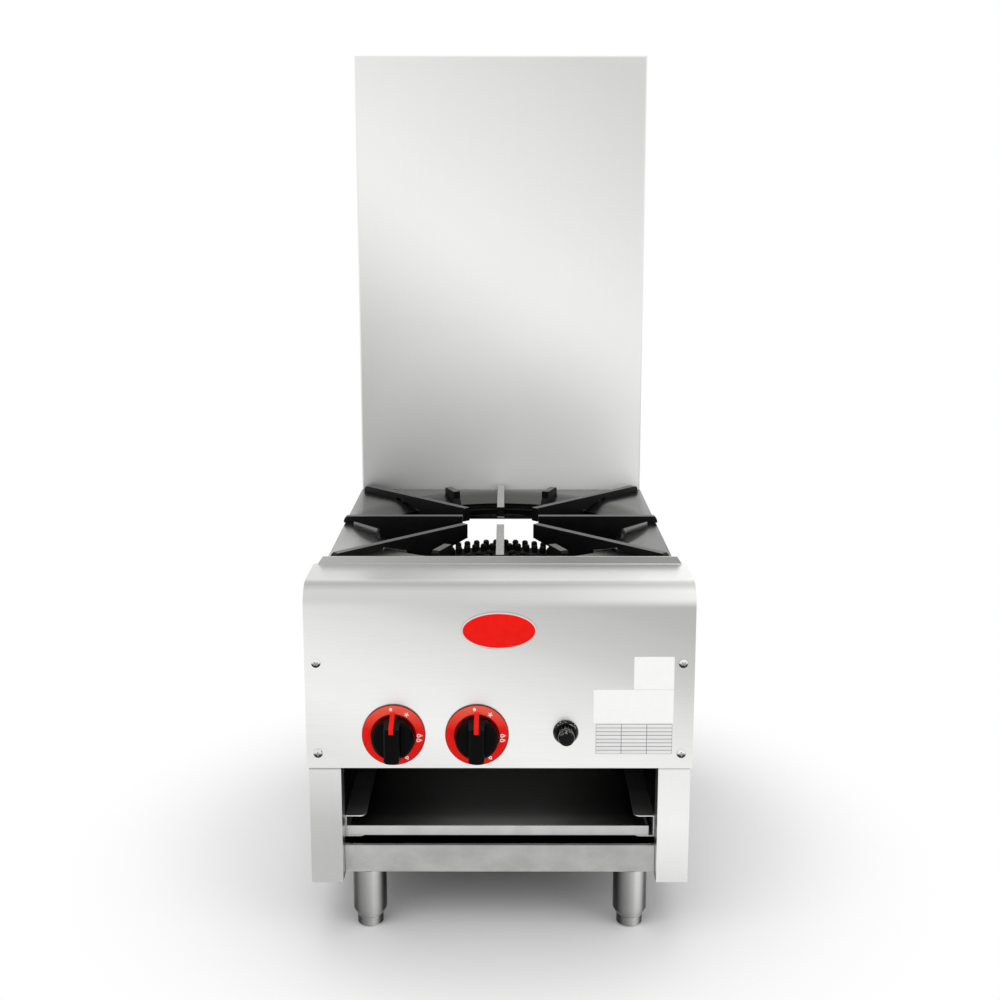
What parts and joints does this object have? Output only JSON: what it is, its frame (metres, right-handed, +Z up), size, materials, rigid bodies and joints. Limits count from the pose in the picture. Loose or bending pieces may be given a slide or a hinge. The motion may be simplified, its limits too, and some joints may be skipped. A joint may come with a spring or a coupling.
{
  "type": "single burner gas stove",
  "caption": "Free-standing single burner gas stove on round legs, with a tall flat splashback, a cast iron pan support, a ring burner, turn knobs and a pull-out drip tray.",
  "frame": {"origin": "centre of the overall box, on the floor", "axes": "+Z up, the front with the knobs faces -Y, +X to the right seen from the front"},
  "size_m": [0.457, 0.6154, 1.092],
  "materials": {
    "stainless": "brushed",
    "bright_steel": "satin",
    "zinc_steel": "zinc plated",
    "dark_steel": "matt",
    "iron": "matt cast",
    "burner_iron": "matt cast",
    "dial_red": "gloss",
    "knob_black": "satin",
    "igniter_black": "gloss",
    "brass": "machined",
    "copper": "drawn",
    "ceramic": "glazed",
    "silicone_red": "smooth"
  },
  "bodies": {
    "stove_body": {"front_panel": "stainless", "left_side_panel": "stainless", "right_side_panel": "stainless", "back_panel": "stainless", "front_crossbar": "zinc_steel", "rear_crossbar": "zinc_steel", "base_plate": "dark_steel", "left_liner": "dark_steel", "right_liner": "dark_steel", "rear_liner": "bright_steel", "valve_shield": "dark_steel", "left_rail": "zinc_steel", "right_rail": "zinc_steel", "hob_pan": "stainless", "splashback": "stainless", "splash_stays": "zinc_steel", "outer_burner": "burner_iron", "inner_burner": "burner_iron", "burner_bridge": "dark_steel", "left_mixer": "burner_iron", "right_mixer": "burner_iron", "left_injector": "brass", "right_injector": "brass", "gas_manifold": "zinc_steel", "inlet_pipe": "zinc_steel", "left_valve": "brass", "right_valve": "brass", "left_dial": "dial_red", "right_dial": "dial_red", "igniter_bezel": "igniter_black", "igniter_body": "igniter_black", "pilot_burner": "brass", "pilot_bracket": "zinc_steel", "spark_electrode": "ceramic", "thermocouples": "copper", "pilot_tube": "zinc_steel", "ignition_lead": "silicone_red", "panel_screws": "zinc_steel", "front_left_leg": "bright_steel", "front_right_leg": "bright_steel", "rear_left_leg": "bright_steel", "rear_right_leg": "bright_steel"},
    "pan_support": {"top_grate": "iron"},
    "tray": {"drip_tray": "zinc_steel"},
    "left_shutter": {"left_air_shutter": "zinc_steel"},
    "right_shutter": {"right_air_shutter": "zinc_steel"},
    "left_push": {"left_guide_ring": "bright_steel"},
    "left_control": {"left_knob": "knob_black", "left_pointer": "dial_red", "left_spindle": "bright_steel"},
    "right_push": {"right_guide_ring": "bright_steel"},
    "right_control": {"right_knob": "knob_black", "right_pointer": "dial_red", "right_spindle": "bright_steel"},
    "igniter": {"igniter_button": "igniter_black"},
    "front_left_foot": {"front_left_foot": "bright_steel"},
    "front_right_foot": {"front_right_foot": "bright_steel"},
    "rear_left_foot": {"rear_left_foot": "bright_steel"},
    "rear_right_foot": {"rear_right_foot": "bright_steel"}
  },
  "joints": [
    {"name": "grate_lift", "type": "slide", "parent": "stove_body", "child": "pan_support", "axis": [0, 0, 1], "range_m": [0, 0.15]},
    {"name": "tray_slide", "type": "slide", "parent": "stove_body", "child": "tray", "axis": [0, -1, 0], "range_m": [0, 0.4]},
    {"name": "left_knob_push", "type": "slide", "parent": "stove_body", "child": "left_push", "axis": [0, 1, 0], "range_m": [0, 0.003], "stiffness_N_per_m": 900, "springref_m": -0.003},
    {"name": "left_knob_turn", "type": "hinge", "parent": "left_push", "child": "left_control", "pos_m": [-0.125, -0.26925, 0.261], "axis": [0, 1, 0], "range_deg": [0, 155]},
    {"name": "left_shutter_turn", "type": "hinge", "parent": "stove_body", "child": "left_shutter", "pos_m": [-0.125, -0.14925, 0.261], "axis": [0, 1, 0], "range_deg": [0, 60]},
    {"name": "right_knob_push", "type": "slide", "parent": "stove_body", "child": "right_push", "axis": [0, 1, 0], "range_m": [0, 0.003], "stiffness_N_per_m": 900, "springref_m": -0.003},
    {"name": "right_knob_turn", "type": "hinge", "parent": "right_push", "child": "right_control", "pos_m": [-0.0267, -0.26925, 0.261], "axis": [0, 1, 0], "range_deg": [0, 155]},
    {"name": "right_shutter_turn", "type": "hinge", "parent": "stove_body", "child": "right_shutter", "pos_m": [-0.0267, -0.14925, 0.261], "axis": [0, 1, 0], "range_deg": [0, 60]},
    {"name": "igniter_press", "type": "slide", "parent": "stove_body", "child": "igniter", "axis": [0, 1, 0], "range_m": [0, 0.006], "stiffness_N_per_m": 900, "springref_m": -0.004},
    {"name": "front_left_foot_height", "type": "slide", "parent": "stove_body", "child": "front_left_foot", "axis": [0, 0, -1], "range_m": [0, 0.02]},
    {"name": "front_right_foot_height", "type": "slide", "parent": "stove_body", "child": "front_right_foot", "axis": [0, 0, -1], "range_m": [0, 0.02]},
    {"name": "rear_left_foot_height", "type": "slide", "parent": "stove_body", "child": "rear_left_foot", "axis": [0, 0, -1], "range_m": [0, 0.02]},
    {"name": "rear_right_foot_height", "type": "slide", "parent": "stove_body", "child": "rear_right_foot", "axis": [0, 0, -1], "range_m": [0, 0.02]}
  ]
}
